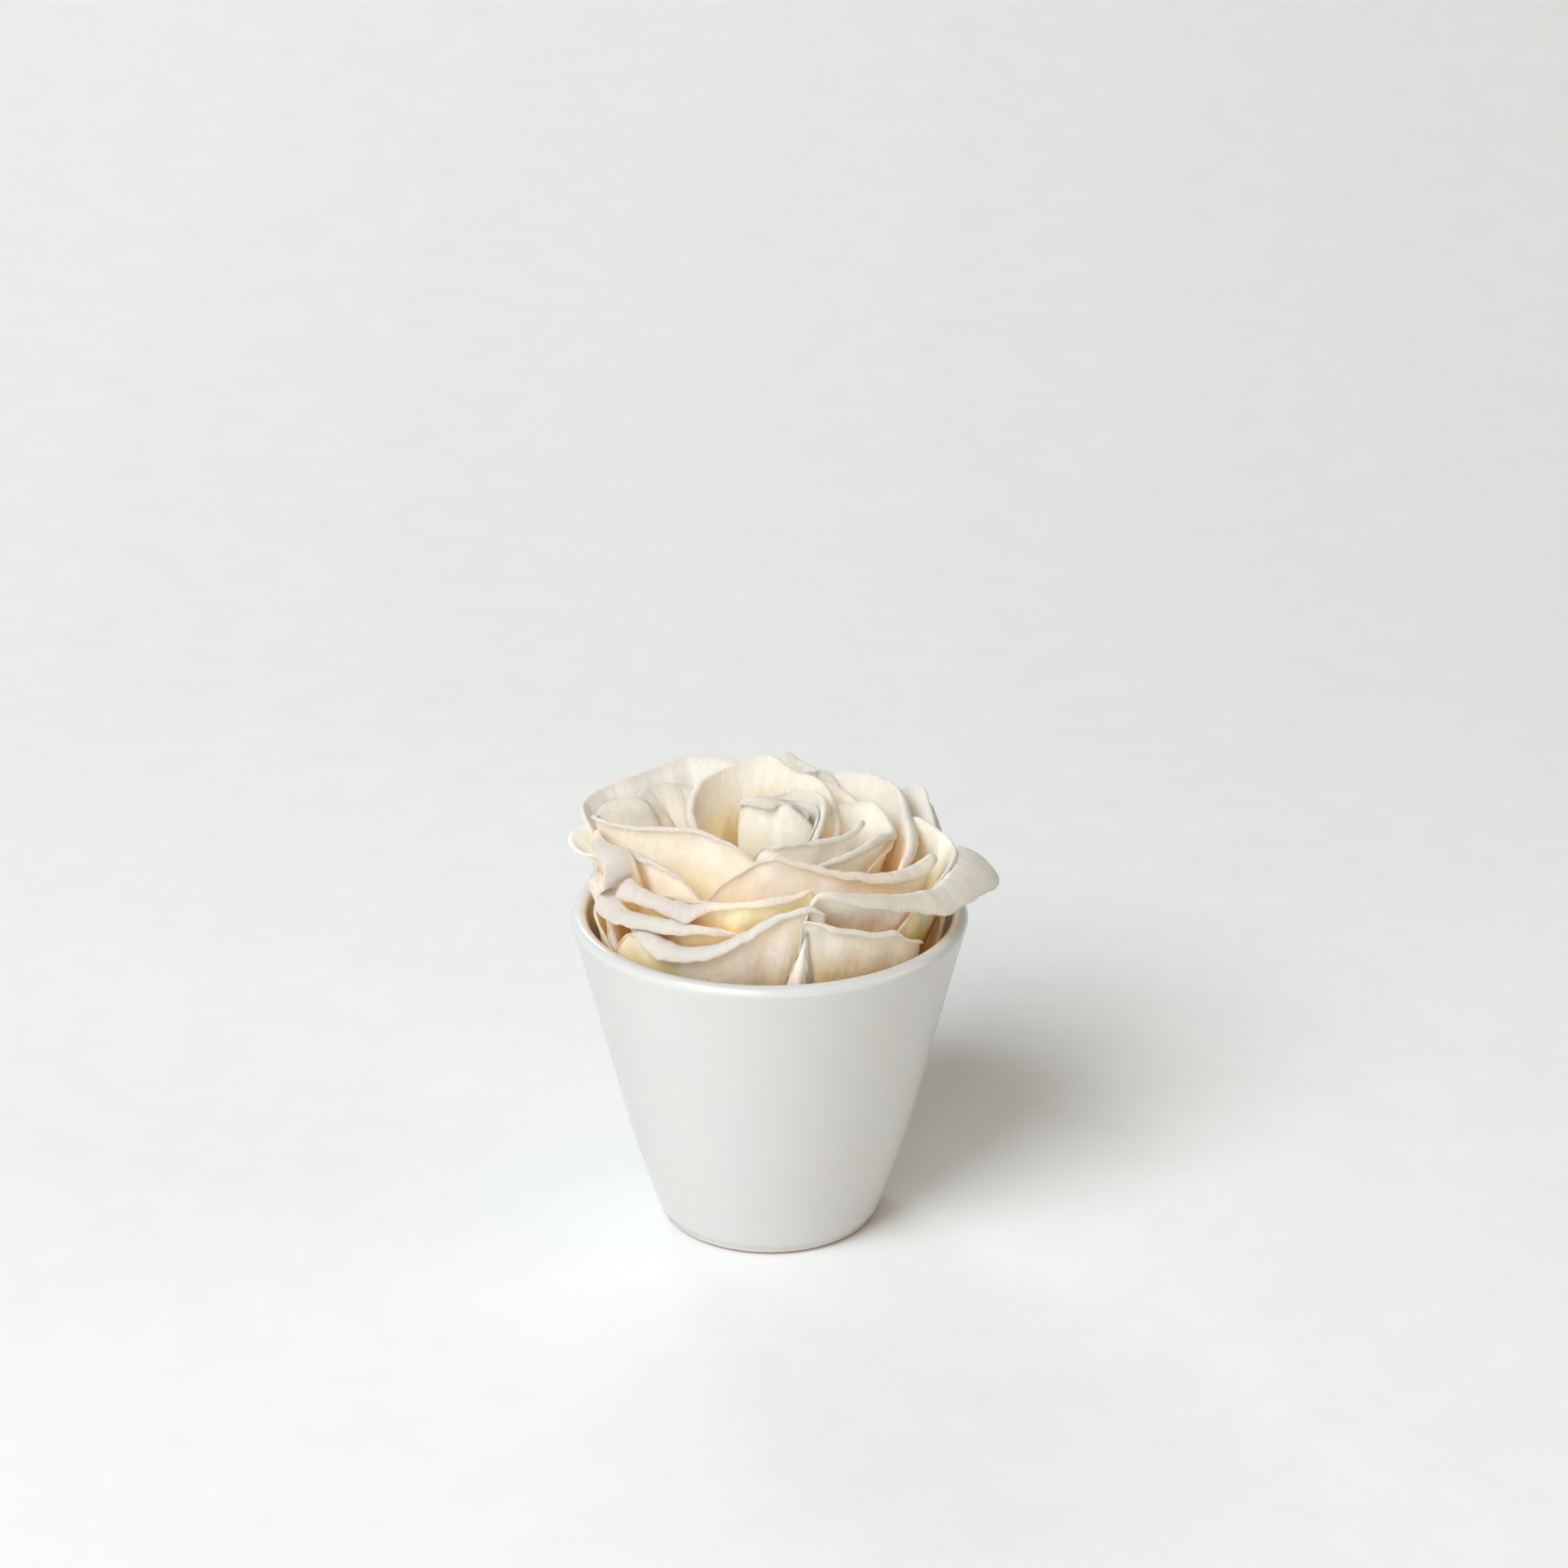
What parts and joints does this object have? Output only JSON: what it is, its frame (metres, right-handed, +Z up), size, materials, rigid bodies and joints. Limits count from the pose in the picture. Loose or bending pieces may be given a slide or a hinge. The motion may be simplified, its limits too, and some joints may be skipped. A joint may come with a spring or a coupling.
{
  "type": "preserved rose in vase",
  "caption": "Single preserved rose head with layered, rolled petals, standing in a small tapered glazed ceramic vase that it fills to the lip",
  "frame": {"origin": "on the surface that it stands on, under the centre of the vase's foot", "axes": "+Z up, -Y towards the viewer of the picture, +X to the viewer's right"},
  "size_m": [0.0867, 0.0804, 0.0917],
  "materials": {
    "vase": "satin white glaze",
    "foam": "matte, crumbly",
    "stem": "matte",
    "bloom": "velvety, matte"
  },
  "bodies": {
    "root": {"vase": "vase", "foam": "foam", "stem": "stem", "bloom": "bloom"}
  },
  "joints": []
}
